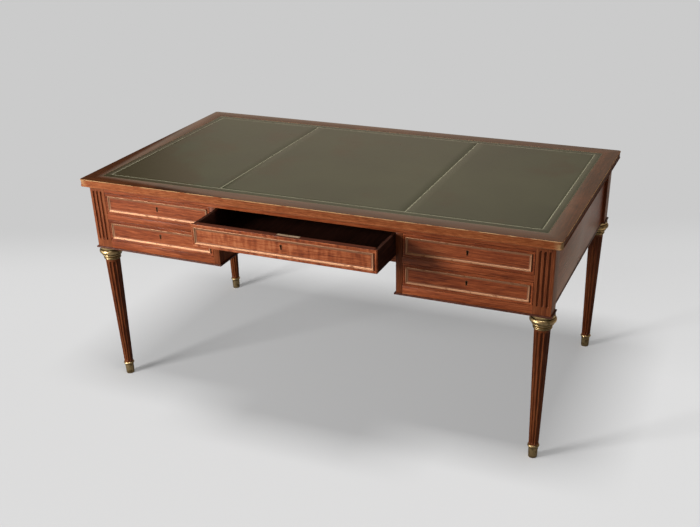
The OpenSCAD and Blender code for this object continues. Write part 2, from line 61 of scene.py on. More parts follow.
post_low, post_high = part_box("post_front_right")
post_x = (post_low.x + post_high.x) / 2
post_spread_y = desk_y - (post_low.y + post_high.y) / 2
post_width = post_high.x - post_low.x
leg_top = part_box("leg_collars")[1].z
collar_height = 46 * MM
shaft_top = leg_top - collar_height
foot_height = 48.5 * MM
shaft_radius_top = 25.5 * MM
shaft_radius_foot = 15.8 * MM
neck_radius = 19 * MM
spigot_radius, spigot_length = 11 * MM, 38 * MM
leg_flute_low, leg_flute_high = 3.1 * MM, 5 * MM
post_flute, post_flute_pitch = 4.8 * MM, 14.5 * MM
post_plain_low, post_plain_high = 25 * MM, 17 * MM  # plain wood past the ends of the flutes


# Nodes written as expressions


def math_node(operation, swapped=False):
    """A method of Field that adds one Math node, with the field itself last if swapped."""

    def method(field, *others):
        values = (*others, field) if swapped else (field, *others)
        return field.nodes.node(
            "ShaderNodeMath", {"operation": operation}, dict(enumerate(values))
        )

    return method


class Field:
    """What a node gives. Arithmetic on fields of numbers adds Math nodes to their tree."""

    def __init__(self, nodes, socket):
        self.nodes = nodes
        self.socket = socket

    __add__ = __radd__ = math_node("ADD")
    __sub__ = math_node("SUBTRACT")
    __rsub__ = math_node("SUBTRACT", swapped=True)
    __mul__ = __rmul__ = math_node("MULTIPLY")
    __truediv__ = math_node("DIVIDE")
    __rtruediv__ = math_node("DIVIDE", swapped=True)
    __pow__ = math_node("POWER")
    __mod__ = math_node("FLOORED_MODULO")
    __abs__ = math_node("ABSOLUTE")
    __gt__ = math_node("GREATER_THAN")
    least = math_node("MINIMUM")
    most = math_node("MAXIMUM")
    floor = math_node("FLOOR")
    sine = math_node("SINE")
    cosine = math_node("COSINE")
    root = math_node("SQRT")


class Nodes:
    """A node tree that starts empty: a material's, the world's or a Geometry Nodes group's."""

    def __init__(self, tree):
        self.tree = tree
        tree.nodes.clear()

    def node(self, kind, settings=None, inputs=None, output=0):
        """Adds a node with its settings and its sockets' values or links, and gives its output."""
        made = self.tree.nodes.new(kind)
        for name, value in (settings or {}).items():
            if name == "stops":
                self.set_stops(made.color_ramp, value)
            else:
                setattr(made, name, value)
        for place, value in (inputs or {}).items():
            if isinstance(value, Field):
                self.tree.links.new(value.socket, made.inputs[place])
            else:
                made.inputs[place].default_value = value
        return Field(self, made.outputs[output])

    @staticmethod
    def set_stops(ramp, stops):
        while len(ramp.elements) < len(stops):
            ramp.elements.new(1.0)
        for element, (place, color) in zip(ramp.elements, stops):
            element.position = place
            element.color = (*color, 1.0)

    def split(self, vector):
        """The three parts of a vector."""
        made = self.node("ShaderNodeSeparateXYZ", {}, {0: vector}).socket.node
        return [Field(self, made.outputs[i]) for i in range(3)]

    def rays(self, *kinds):
        """Whether a ray is of each of these kinds, as fields."""
        made = self.node("ShaderNodeLightPath").socket.node
        return [Field(self, made.outputs[f"Is {kind} Ray"]) for kind in kinds]

    def end(self, kind, place, value):
        """The last node of the tree, with what goes into it."""
        made = self.tree.nodes.new(kind)
        self.tree.links.new(value.socket, made.inputs[place])

    def vector(self, x, y, z):
        return self.node("ShaderNodeCombineXYZ", {}, {0: x, 1: y, 2: z})

    def vector_math(self, operation, a, b, output=0):
        return self.node("ShaderNodeVectorMath", {"operation": operation}, {0: a, 1: b}, output)

    def between(self, value, low, high, at_low=0.0, at_high=1.0, kind="SMOOTHSTEP"):
        """A value brought from one range to another, and held at its ends."""
        return self.node(
            "ShaderNodeMapRange",
            {"interpolation_type": kind},
            {0: value, 1: low, 2: high, 3: at_low, 4: at_high},
        )


class Finish(Nodes):
    """A material, painted on the piece's own coordinates."""

    def __init__(self, name):
        self.material = bpy.data.materials.new(name)
        self.material.use_nodes = True
        super().__init__(self.material.node_tree)
        self.place = self.node("ShaderNodeTexCoord", output="Object")

    def noise(self, vector, scale=1.0, detail=2.0, roughness=0.5, distortion=0.0):
        return self.node(
            "ShaderNodeTexNoise",
            {"noise_dimensions": "3D"},
            {
                "Vector": vector,
                "Scale": scale,
                "Detail": detail,
                "Roughness": roughness,
                "Distortion": distortion,
            },
        )

    def stretched(self, *scale):
        """The piece's own coordinates, times a number for each axis."""
        return self.vector_math("MULTIPLY", self.place, scale)

    def ramp(self, value, stops):
        return self.node("ShaderNodeValToRGB", {"stops": stops}, {0: value})

    def mix(self, factor, a, b):
        """Colour a where the factor is 0 and colour b where it is 1."""
        sides = [side if isinstance(side, Field) else (*side, 1.0) for side in (a, b)]
        return self.node(
            "ShaderNodeMix",
            {"data_type": "RGBA", "clamp_factor": True},
            {0: factor, 6: sides[0], 7: sides[1]},
            output=2,
        )

    def attribute(self, name):
        return self.node("ShaderNodeAttribute", {"attribute_name": name}, output="Fac")

    def surface(self, color, roughness, height=None, relief=0.1 * MM, metallic=0.0, **fixed):
        """Ends the material. What is in fixed are constants of the shader's own sockets."""
        inputs = {
            "Base Color": color,
            "Roughness": roughness,
            "Metallic": metallic,
        }
        inputs.update({name.replace("_", " "): value for name, value in fixed.items()})
        if height is not None:
            inputs["Normal"] = self.node(
                "ShaderNodeBump", {}, {"Strength": 1.0, "Distance": relief, "Height": height}
            )
        shader = self.node("ShaderNodeBsdfPrincipled", {}, inputs)
        self.end("ShaderNodeOutputMaterial", "Surface", shader)
        return self.material


# Finishes


def tones(*colors, places=(0.22, 0.50, 0.85)):
    """The stops of a ramp, from the darkest colour to the palest."""
    return list(zip(places, colors))


FRONT_TONES = tones(
    (0.085, 0.016, 0.006), (0.205, 0.044, 0.013), (0.310, 0.076, 0.024), (0.450, 0.150, 0.058),
    places=(0.20, 0.42, 0.60, 0.85),
)
EDGE_TONES = tones(
    (0.110, 0.0235, 0.0055), (0.240, 0.062, 0.0165), (0.360, 0.124, 0.042),
    places=(0.25, 0.50, 0.75),
)
LEATHER_TONES = tones(
    (0.017, 0.020, 0.0085), (0.026, 0.030, 0.0130), (0.040, 0.043, 0.020),
    places=(0.25, 0.50, 0.78),
)
# The top's tones are much darker than the fronts': painted shade, the top darker as if it got less
# light than the fronts.
SHADED_TOP_TONES = tones((0.020, 0.005, 0.0015), (0.052, 0.0140, 0.0035), (0.105, 0.032, 0.010))
LEG_TONES = tones((0.048, 0.010, 0.003), (0.128, 0.030, 0.008), (0.255, 0.080, 0.024))
CARCASE_TONES = tones((0.068, 0.017, 0.0065), (0.165, 0.042, 0.0140), (0.280, 0.085, 0.0300))
INNER_TONES = tones((0.010, 0.0035, 0.002), (0.026, 0.0085, 0.005), (0.055, 0.020, 0.012))
BARE_TONES = tones((0.030, 0.008, 0.004), (0.070, 0.018, 0.009), (0.120, 0.036, 0.018))
OAK_TONES = tones((0.170, 0.095, 0.045), (0.290, 0.180, 0.090), (0.400, 0.270, 0.150))
BOARD_TONES = tones((0.035, 0.011, 0.007), (0.080, 0.024, 0.014), (0.150, 0.050, 0.028))


def wood(
    name,
    tones,
    grain,
    seed=0.0,
    polish=0.30,
    specular=0.25,
    stripes=1.0,
    fiddle=0.0,
    lift=0.0,
    painted_left_shade=0.0,
    relief=0.06 * MM,
    paint=None,
):
    """Polished wood whose fibres run along one axis. paint adds wear and painted highlights to one
    place.

    painted_left_shade is how much darker the wood is painted at the left end of the desk: painted
    shade, as if the lamps lit that end less.
    """
    finish = Finish(name)
    x, y, z = finish.split(finish.place)
    along, across, through = {"X": (x, y, z), "Y": (y, x, z), "Z": (z, x, y)}[grain]
    fibre_space = finish.vector(along, across, through)
    start = (seed * 3.7, seed * 1.9, seed * 5.3)

    def drawn_out(length, width, detail, roughness=0.5):
        """Noise whose marks have this length along the grain and this width across it."""
        scaled = finish.vector_math("MULTIPLY", fibre_space, (1 / length, 1 / width, 1 / width))
        shifted = finish.vector_math("ADD", scaled, start)
        return finish.noise(shifted, detail=detail, roughness=roughness)

    broad = drawn_out(0.30, 0.09, 4)
    growth = drawn_out(0.28, 0.009, 3, 0.6)
    streak = drawn_out(0.075, 0.0032, 4, 0.65)
    fibre = drawn_out(0.03, 0.0011, 3, 0.65)
    vessel = drawn_out(0.010, 0.00045, 2)
    ripple = drawn_out(0.012, 0.05, 3)
    smear = finish.noise(finish.place, scale=9, detail=3)

    tone = 0.5 + lift + (broad - 0.5) * 0.6 + (growth - 0.5) * 0.45 * stripes
    # Painted shade: the wood darker towards the left end of the desk, as if the lamps lit it less.
    tone = tone - finish.between(x, -0.42, -0.78) * painted_left_shade
    tone = tone + (streak - 0.5) * 0.95 + (fibre - 0.5) * 0.85 + (ripple - 0.5) * fiddle
    pores = finish.between(vessel, 0.58, 0.70)
    color = finish.ramp(tone, tones)
    color = finish.mix(pores * 0.4, color, tones[0][1])
    rubbed = finish.attribute("rubbed_edge")
    color = finish.mix(rubbed * 0.35, color, tones[-1][1])
    roughness = polish + (smear - 0.5) * 0.12 + (streak - 0.5) * 0.06
    if paint:
        color, roughness = paint(finish, color, roughness, x, y, z)
    return finish.surface(
        color,
        roughness,
        height=fibre * 0.5 - pores * 0.5 + ripple * 0.2,
        relief=relief,
        Specular_IOR_Level=specular,
    )


def brass(name, clean, tarnish, share=0.5, roughness=0.36, bright_rows=None, shaded_grooves=()):
    """Gilt brass that has gone dull in patches.

    bright_rows are the rows of a profile that are rubbed bright, between duller ones.
    shaded_grooves are the heights of the hollows between mouldings, darkened there: dirt, and
    painted shade.
    """
    finish = Finish(name)
    patch = finish.noise(finish.place, scale=55, detail=5, roughness=0.6)
    scratch = finish.noise(finish.stretched(900.0, 900.0, 120.0), detail=3)
    speck = finish.noise(finish.place, scale=600, detail=2)
    dull = finish.between(patch, 0.62 - share * 0.3, 0.78 - share * 0.3)
    spots = finish.between(speck, 0.66, 0.74)
    color = finish.mix(dull * 0.75 + spots * 0.4, clean, tarnish)
    metallic = 1.0 - spots * 0.3
    if bright_rows:
        row = finish.attribute("profile_row")
        low, high = bright_rows
        rubbed = finish.between(row, low - 1, low) * finish.between(row, high + 1.5, high)
        color = finish.mix(rubbed, tarnish, color)
        metallic = metallic * (rubbed * 0.6 + 0.4)
    if shaded_grooves:
        x, y, z = finish.split(finish.place)
        for height in shaded_grooves:
            # Painted shade with dirt: dark bands in the hollows between the rings.
            groove_shade_and_dirt = finish.between(abs(z - height), 2.2 * MM, 0.5 * MM)
            color = finish.mix(groove_shade_and_dirt * 0.85, color, (0.045, 0.028, 0.010))
    return finish.surface(
        color,
        roughness + dull * 0.16 + (scratch - 0.5) * 0.12,
        height=scratch * 0.5 - spots * 0.5,
        relief=0.03 * MM,
        metallic=metallic,
    )


def aged_top(finish, color, roughness, x, y, z):
    """The border of the top: reddish where the finish is worn through."""
    worn = finish.noise(finish.place, scale=7, detail=4, roughness=0.6)
    color = finish.mix(finish.between(worn, 0.56, 0.72) * 0.45, color, (0.105, 0.030, 0.011))
    return color, roughness


def moulded_edge(pale, gilt_highlight):
    """The paint of the moulded edge, which is paler and duller than the top.

    Its upper bead is rubbed to gold, as are its corners and, less, its lower arris: partly wear,
    partly painted highlights where the rounded edges catch the lamps.
    """

    def paint(finish, color, roughness, x, y, z):
        def under(high, low):
            """Rises from 0 at one depth under the top to 1 at another, in mm."""
            return finish.between(z, top_z - high * MM, top_z - low * MM)

        speckle = finish.noise(finish.stretched(45.0, 45.0, 420.0), detail=5, roughness=0.65)
        streak = finish.noise(finish.stretched(16.0, 16.0, 16.0), detail=4, roughness=0.65)
        below = under(0.2, 1.0)
        color = finish.mix(below * pale, color, finish.ramp(speckle, EDGE_TONES))
        # Painted highlights, partly wear: gold on the upper bead and round the corners, where the
        # rounded edges catch the lamps.
        bead = under(2.4, 1.5) * under(0.05, 0.5)
        past_x = abs(x) - (top_width / 2 - 30 * MM)
        past_y = abs(y - desk_y) - (top_depth / 2 - 30 * MM)
        corner = finish.between(past_x.least(past_y), 0.0, 25 * MM)
        corner = corner * finish.between(streak, 0.42, 0.5)
        rubbed = (bead * gilt_highlight * finish.between(streak, 0.34, 0.52)).most(corner * below)
        color = finish.mix(rubbed * 0.85, color, (0.40, 0.235, 0.105))
        # Painted highlight: a pale line on the lower arris, where it catches the lamps.
        arris = under(23.6, 24.8) * finish.between(streak, 0.3, 0.5)
        color = finish.mix(arris * pale * 0.6, color, (0.44, 0.20, 0.09))
        return color, roughness + below * 0.30

    return paint


def leather_finish():
    """Olive hide, browner and darker towards the left front, with a fine pebbled grain."""
    finish = Finish("olive_leather")
    cloud = finish.noise(finish.place, scale=3.2, detail=4, roughness=0.55)
    mottle = finish.noise(finish.place, scale=38, detail=5, roughness=0.6)
    pebble = finish.node(
        "ShaderNodeTexVoronoi",
        {"feature": "SMOOTH_F1"},
        {"Vector": finish.place, "Scale": 620.0},
        output="Distance",
    )
    crease = finish.noise(finish.place, scale=170, detail=3, roughness=0.6)
    tone = 0.5 + (cloud - 0.5) * 0.9 + (mottle - 0.5) * 0.35
    color = finish.ramp(tone, LEATHER_TONES)
    x, y, z = finish.split(finish.place)
    from_middle = y - desk_y
    blotch = finish.noise(finish.place, scale=5.5, detail=5, roughness=0.6)
    # Browner and darker in blotches towards the left front.
    toward_left_front = finish.between(x + from_middle * 0.6, -0.35, -0.85)
    brown = finish.between(blotch + toward_left_front * 0.30, 0.52, 0.74)
    color = finish.mix(brown * 0.7, color, (0.030, 0.020, 0.0070))
    color = finish.mix(finish.between(pebble, 0.35, 0.75) * 0.12, color, (0.011, 0.009, 0.004))
    to_edge = (leather_half_x - abs(x)).least(leather_half_y - abs(from_middle))
    rim = finish.between(to_edge, 2.6 * MM, 1.2 * MM)
    color = finish.mix(rim * 0.6, color, (0.12, 0.10, 0.065))
    return finish.surface(
        color,
        0.30 + (mottle - 0.5) * 0.08 + (cloud - 0.5) * 0.08,
        height=crease * 0.5 - pebble,
        relief=0.02 * MM,
        Specular_IOR_Level=0.5,
    )


def tooling_finish():
    """Gold leaf pressed into the leather, worn off here and there."""
    finish = Finish("gold_tooling")
    wear = finish.noise(finish.place, scale=85, detail=4, roughness=0.7)
    broad = finish.noise(finish.place, scale=6, detail=3)
    gone = finish.between(wear + (broad - 0.5) * 0.5, 0.50, 0.66)
    color = finish.mix(gone * 0.7, (0.270, 0.260, 0.175), (0.050, 0.046, 0.024))
    return finish.surface(color, 0.42 + gone * 0.1, metallic=0.25 - gone * 0.2)


def lock_finish(name):
    """A dark iron lock case under a plate of worn brass."""
    finish = Finish(name + "_lock_iron_and_brass")
    x, y, z = finish.split(finish.place)
    plate_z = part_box(name + "_lock")[1].z - 2.5 * MM
    plate = finish.between(z, plate_z, plate_z + 0.2 * MM)
    rust = finish.noise(finish.place, scale=260, detail=4)
    iron = finish.mix(rust, (0.050, 0.044, 0.040), (0.030, 0.018, 0.012))
    worn = finish.mix(finish.between(rust, 0.4, 0.65), (0.62, 0.52, 0.38), (0.34, 0.26, 0.17))
    return finish.surface(
        finish.mix(plate, iron, worn),
        0.5 - plate * 0.1 + (rust - 0.5) * 0.2,
        metallic=plate * 0.6 + 0.3,
    )


def steel_finish():
    finish = Finish("bright_steel")
    haze = finish.noise(finish.place, scale=90, detail=5, roughness=0.6)
    color = finish.mix(finish.between(haze, 0.4, 0.7), (0.46, 0.41, 0.35), (0.27, 0.22, 0.18))
    return finish.surface(color, 0.34 + (haze - 0.5) * 0.2, metallic=1.0)


flat_top = {"polish": 0.13, "specular": 0.5, "relief": 0.015 * MM, "paint": aged_top}
top_wood_x = wood("top_mahogany_long", SHADED_TOP_TONES, "X", seed=1.3, **flat_top)
top_wood_y = wood("top_mahogany_short", SHADED_TOP_TONES, "Y", seed=2.1, **flat_top)
edge_wood_x = wood(
    "moulding_mahogany_long", SHADED_TOP_TONES, "X", seed=1.3, polish=0.30, specular=0.12,
    paint=moulded_edge(pale=1.0, gilt_highlight=1.0),
)
edge_wood_y = wood(
    "moulding_mahogany_short", SHADED_TOP_TONES, "Y", seed=2.1, polish=0.34, specular=0.12,
    paint=moulded_edge(pale=0.30, gilt_highlight=0.70),
)
post_wood = wood("post_mahogany", CARCASE_TONES, "Z", seed=0.4, polish=0.36, specular=0.12)
leg_wood = wood("leg_mahogany", LEG_TONES, "Z", seed=4.4, polish=0.34, specular=0.18)
rail_wood = wood("rail_mahogany", FRONT_TONES, "X", seed=3.2, polish=0.30, painted_left_shade=0.10)
stile_wood = wood("stile_mahogany", CARCASE_TONES, "Z", seed=6.0, polish=0.36, specular=0.12)
side_wood = wood(
    "side_mahogany", FRONT_TONES, "Y", seed=5.1, polish=0.30, specular=0.3, lift=-0.05,
    relief=0.03 * MM,
)
back_wood = wood("back_mahogany", CARCASE_TONES, "X", seed=7.7, polish=0.42, specular=0.3)
board_wood = wood("dark_edge_board", BOARD_TONES, "Y", seed=8.3, polish=0.40)
inner_wood = wood("dark_drawer_wood", INNER_TONES, "Y", seed=9.1, polish=0.60, specular=0.05)
bare_wood = wood("bare_front_edge", BARE_TONES, "X", seed=10.2, polish=0.60, specular=0.05)
oak_wood = wood("plain_oak", OAK_TONES, "Y", seed=11.0, polish=0.6, specular=0.25)
# The right drawers' veneers are darker (lift -0.07): painted shade, as if the key lamp lit them
# less than the left ones.
veneers = {
    "centre": {"seed": 12.4, "fiddle": 0.8, "lift": 0.02},
    "left_upper": {"seed": 13.1, "lift": -0.01, "painted_left_shade": 0.12},
    "left_lower": {"seed": 14.9, "lift": -0.02, "painted_left_shade": 0.10},
    "right_upper": {"seed": 15.6, "lift": -0.07},
    "right_lower": {"seed": 16.2, "lift": -0.07},
}
front_woods = {
    name: wood(name + "_veneer", FRONT_TONES, "X", **figure) for name, figure in veneers.items()
}
mount_brass = brass(
    "gilt_mounts", (0.55, 0.40, 0.20), (0.12, 0.08, 0.032), roughness=0.37,
    shaded_grooves=[leg_top - depth * MM for depth in (8.2, 26.8, 35.6, 42.0)] + [38.0 * MM],
)
bar_brass = brass(
    "gilt_bars", (0.47, 0.25, 0.14), (0.230, 0.082, 0.035), share=0.25, roughness=0.56,
    bright_rows=(4, 12),
)
# Painted shade: the keyhole lining is coloured dark, so that the hole reads as in shade.
keyhole_shade_brass = brass("keyhole_brass", (0.14, 0.075, 0.04), (0.045, 0.022, 0.012), roughness=0.6)
bolt_brass = brass("bolt_brass", (0.50, 0.40, 0.27), (0.24, 0.18, 0.11), share=0.5)
bright_steel = steel_finish()
olive_leather = leather_finish()
gold_tooling = tooling_finish()


# Pieces in mesh code

SAME_POINT = 0.001 * MM  # points nearer than this are one
SAME_PLANE = math.radians(0.5)  # faces that meet at less are one
OUTER_EDGE = math.radians(50)  # edges sharper than this are eased


def shade(mesh, sharp_angle):
    """Smooth shading, broken where two faces meet at more than the angle."""
    made = bmesh.new()
    made.from_mesh(mesh)
    for face in made.faces:
        face.smooth = True
    for edge in made.edges:
        angle = edge.calc_face_angle(0.0) if len(edge.link_faces) == 2 else math.pi
        edge.smooth = angle < math.radians(sharp_angle)
    made.to_mesh(mesh)
    made.free()


def add_object(name, data):
    """A new object in the scene, at the origin."""
    added = bpy.data.objects.new(name, data)
    bpy.context.scene.collection.objects.link(added)
    return added


def place_piece(name, mesh, finishes, nodes, body, sharp_angle):
    """Puts a finished mesh in the scene, in place of the CAD nodes that it stands for."""
    shade(mesh, sharp_angle)
    mesh.name = name
    numbers = [face.material_index for face in mesh.polygons]
    mesh.materials.clear()
    for finish in finishes:
        mesh.materials.append(finish)
    mesh.polygons.foreach_set("material_index", numbers)
    piece = add_object(name, mesh)
    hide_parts(*nodes)
    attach(piece, body)


def mesh_from(points, faces=()):
    """A mesh as it is given, or bare points."""
    mesh = bpy.data.meshes.new("shape")
    mesh.from_pydata(points, [], faces)
    return mesh


def settled(mesh):
    """The closed mesh with its faces outward, after points that coincide have become one."""
    made = bmesh.new()
    made.from_mesh(mesh)
    bmesh.ops.remove_doubles(made, verts=made.verts, dist=SAME_POINT)
    bmesh.ops.dissolve_degenerate(made, edges=made.edges, dist=SAME_POINT)
    bmesh.ops.recalc_face_normals(made, faces=made.faces)
    made.to_mesh(mesh)
    made.free()
    return mesh


def eased(node, radius=0.5 * MM, shortest=6 * MM):
    """A copy of a CAD node with its long outer edges rounded, and those roundings marked."""
    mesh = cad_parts[node].data.copy()
    made = bmesh.new()
    made.from_mesh(mesh)
    bmesh.ops.remove_doubles(made, verts=made.verts, dist=SAME_POINT)
    bmesh.ops.dissolve_limit(
        made, angle_limit=SAME_PLANE, verts=made.verts, edges=made.edges
    )
    mark = made.faces.layers.float.new("rubbed_edge")
    outer = [
        edge
        for edge in made.edges
        if len(edge.link_faces) == 2
        and edge.is_convex
        and edge.calc_face_angle(0.0) > OUTER_EDGE
        and edge.calc_length() > shortest
    ]
    rounded = bmesh.ops.bevel(
        made,
        geom=outer,
        offset=radius,
        offset_type="OFFSET",
        segments=2,
        profile=0.5,
        affect="EDGES",
        clamp_overlap=True,
    )
    for face in rounded["faces"]:
        face[mark] = 1.0
    made.to_mesh(mesh)
    made.free()
    return mesh


def dress(node, finish):
    """Gives a CAD node that is kept its finish."""
    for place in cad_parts[node].material_slots:
        place.material = finish


def arc_points(center_x, center_z, radius, start, end, steps):
    """Points on an arc, from one angle in degrees to another."""
    angles = [math.radians(start + (end - start) * i / steps) for i in range(steps + 1)]
    return [(center_x + radius * math.cos(a), center_z + radius * math.sin(a)) for a in angles]


# Geometry Nodes groups


def geometry_group(name, given):
    """A Geometry Nodes group with named inputs. Gives its nodes and the fields of the inputs.

    An input is given as its first value, or as the name of its kind if it has none.
    """
    kinds = {int: "Int", float: "Float", tuple: "Vector"}
    tree = bpy.data.node_groups.new(name, "GeometryNodeTree")
    face = tree.interface
    face.new_socket("Geometry", in_out="INPUT", socket_type="NodeSocketGeometry")
    for label, value in given.items():
        kind = kinds.get(type(value), value)
        socket = face.new_socket(label, in_out="INPUT", socket_type=f"NodeSocket{kind}")
        if kind != value:
            socket.default_value = value
    face.new_socket("Geometry", in_out="OUTPUT", socket_type="NodeSocketGeometry")
    nodes = Nodes(tree)
    entry = tree.nodes.new("NodeGroupInput")
    fields = {label: Field(nodes, entry.outputs[label]) for label in ("Geometry", *given)}
    return nodes, fields


def finish_group(nodes, shape, finish):
    """The last nodes of every group: real geometry with its finish."""
    real = nodes.node("GeometryNodeRealizeInstances", {}, {0: shape})
    done = nodes.node("GeometryNodeSetMaterial", {}, {"Geometry": real, "Material": finish})
    nodes.end("NodeGroupOutput", 0, done)
    return nodes.tree


def grown(tree, points, sizes):
    """Runs a group on a row of points with its named sizes, and gives the plain mesh."""
    seedling = add_object("seedling", mesh_from(points))
    modifier = seedling.modifiers.new("form", "NODES")
    modifier.node_group = tree
    for item in tree.interface.items_tree:
        if item.item_type == "SOCKET" and item.in_out == "INPUT" and item.name in sizes:
            modifier[item.identifier] = sizes[item.name]
    reading = bpy.context.evaluated_depsgraph_get()
    mesh = bpy.data.meshes.new_from_object(seedling.evaluated_get(reading))
    seedling.modifiers.clear()
    bpy.data.objects.remove(seedling)
    return settled(mesh)


def moved(nodes, shape, place, turn=(0.0, 0.0, 0.0)):
    return nodes.node(
        "GeometryNodeTransform", {}, {"Geometry": shape, "Translation": place, "Rotation": turn}
    )


def bent(nodes, grid, position):
    """The grid with its points at their new places, joined where it closes on itself."""
    made = nodes.node(
        "GeometryNodeSetPosition", {}, {"Geometry": grid, "Position": position}
    )
    return nodes.node("GeometryNodeMergeByDistance", {}, {"Geometry": made, "Distance": 1e-6})


def profile_on_grid(nodes, profile, columns):
    """A grid for a profile carried round a path, with a row for each of the profile's points.

    Gives the grid and, as fields, its column and row numbers and the profile's two sizes.
    """
    rows = nodes.node(
        "GeometryNodeAttributeDomainSize", {"component": "MESH"}, {"Geometry": profile}
    )
    grid = nodes.node(
        "GeometryNodeMeshGrid",
        {},
        {"Size X": 1.0, "Size Y": 1.0, "Vertices X": columns + 1, "Vertices Y": rows},
    )
    position = nodes.node("GeometryNodeInputPosition")
    x, y, z = nodes.split(position)
    column = ((x + 0.5) * columns + 0.5).floor()
    row = ((y + 0.5) * (rows - 1) + 0.5).floor()
    point = nodes.node(
        "GeometryNodeSampleIndex",
        {"data_type": "FLOAT_VECTOR", "domain": "POINT"},
        {"Geometry": profile, "Value": position, "Index": row},
    )
    out, level, up = nodes.split(point)
    return grid, column, row, out, up


def turned_group():
    """A profile turned round an upright axis, with tapering flutes, at the desk's four corners."""
    nodes, given = geometry_group(
        "turned_and_fluted",
        {
            "Columns": 96,
            "Flutes": 12,
            "Flute Low": 0.1,
            "Flute High": 0.4,
            "Flute Radius Low": 0.0,
            "Flute Radius High": 0.0,
            "Spread X": 1.0,
            "Spread Y": 0.5,
            "Middle Y": 0.0,
            "Finish": "Material",
        },
    )
    grid, column, row, radius, height = profile_on_grid(
        nodes, given["Geometry"], given["Columns"]
    )
    turn = column / given["Columns"]
    in_flute = ((turn * given["Flutes"]) % 1.0 - 0.5) * (2 * math.pi) / given["Flutes"]
    low, high = given["Flute Low"], given["Flute High"]
    share = nodes.between(height, low, high, kind="LINEAR")
    flute = given["Flute Radius Low"] * (1 - share) + given["Flute Radius High"] * share
    past_end = (low - height).most(height - high).most(0.0)
    reach = flute * flute - past_end * past_end
    sideways = radius * in_flute.sine()
    depth = (reach - sideways * sideways).most(0.0).root()
    depth = depth * (flute > 0.0)
    out = radius - depth
    angle = turn * (2 * math.pi)
    whole = bent(nodes, grid, nodes.vector(out * angle.cosine(), out * angle.sine(), height))
    spread = {"Size X": given["Spread X"], "Size Y": given["Spread Y"]}
    corners = nodes.node(
        "GeometryNodeMeshGrid", {}, {**spread, "Vertices X": 2, "Vertices Y": 2}
    )
    four = nodes.node("GeometryNodeInstanceOnPoints", {}, {"Points": corners, "Instance": whole})
    placed = moved(nodes, four, nodes.vector(0.0, given["Middle Y"], 0.0))
    return finish_group(nodes, placed, given["Finish"])


def moulding_group():
    """A profile carried round a rectangle, with mitred or rounded corners."""
    nodes, given = geometry_group(
        "moulding_round_rectangle",
        {
            "Width": 1.0,
            "Depth": 0.5,
            "Corner Radius": 0.0,
            "Corner Steps": 1,
            "Turn": "Rotation",
            "Place": (0.0, 0.0, 0.0),
            "Finish": "Material",
        },
    )
    per_corner = given["Corner Steps"] + 1
    grid, column, row, inset, height = profile_on_grid(
        nodes, given["Geometry"], per_corner * 4
    )
    corner = (column / per_corner).floor() % 4.0
    step = column % per_corner
    quarter = math.pi / 2
    angle = (corner + step / given["Corner Steps"]) * quarter
    middle = (corner + 0.5) * quarter
    sign_x = middle.cosine() * math.sqrt(2)
    sign_y = middle.sine() * math.sqrt(2)
    rounding = (given["Corner Radius"] - inset).most(0.0)
    held_in = inset.most(given["Corner Radius"])
    x = sign_x * (given["Width"] * 0.5 - held_in) + rounding * angle.cosine()
    y = sign_y * (given["Depth"] * 0.5 - held_in) + rounding * angle.sine()
    numbered = nodes.node(
        "GeometryNodeStoreNamedAttribute",
        {"data_type": "FLOAT", "domain": "POINT"},
        {"Geometry": grid, "Name": "profile_row", "Value": row},
    )
    whole = bent(nodes, numbered, nodes.vector(x, y, height))
    placed = moved(nodes, whole, given["Place"], given["Turn"])
    return finish_group(nodes, placed, given["Finish"])


def screws_group():
    """A slotted screw at every point, its head facing one way."""
    nodes, given = geometry_group(
        "slotted_screws",
        {
            "Head Radius": 0.004,
            "Head Height": 0.002,
            "Slot Width": 0.0009,
            "Shank Radius": 0.002,
            "Shank Length": 0.02,
            "Facing": "Rotation",
            "Slot Turn": 1.3,
            "Finish": "Material",
        },
    )

    def cylinder(vertices, radius, length, top):
        made = nodes.node(
            "GeometryNodeMeshCylinder",
            {},
            {"Vertices": vertices, "Radius": radius, "Depth": length},
        )
        return moved(nodes, made, nodes.vector(0.0, 0.0, top - length * 0.5))

    deep = given["Head Height"]
    head = cylinder(24, given["Head Radius"], deep, 0.0)
    groove = nodes.vector(given["Head Radius"] * 3, given["Slot Width"], deep * 0.8)
    slot = nodes.node("GeometryNodeMeshCube", {}, {"Size": groove})
    cut = nodes.node(
        "GeometryNodeMeshBoolean",
        {"operation": "DIFFERENCE", "solver": "EXACT"},
        {"Mesh 1": head, "Mesh 2": slot},
    )
    shank = cylinder(16, given["Shank Radius"], given["Shank Length"], deep * -1.0)
    both = nodes.tree.nodes.new("GeometryNodeJoinGeometry")
    nodes.tree.links.new(cut.socket, both.inputs[0])
    nodes.tree.links.new(shank.socket, both.inputs[0])
    number = nodes.node("GeometryNodeInputIndex")
    twist = nodes.vector(0.0, 0.0, number * given["Slot Turn"])
    twisted = nodes.node(
        "FunctionNodeRotateRotation",
        {"rotation_space": "LOCAL"},
        {"Rotation": given["Facing"], "Rotate By": twist},
    )
    screw = Field(nodes, both.outputs[0])
    many = nodes.node(
        "GeometryNodeInstanceOnPoints",
        {},
        {"Points": given["Geometry"], "Instance": screw, "Rotation": twisted},
    )
    return finish_group(nodes, many, given["Finish"])


turned = turned_group()
moulding = moulding_group()
screws = screws_group()


# The writing top


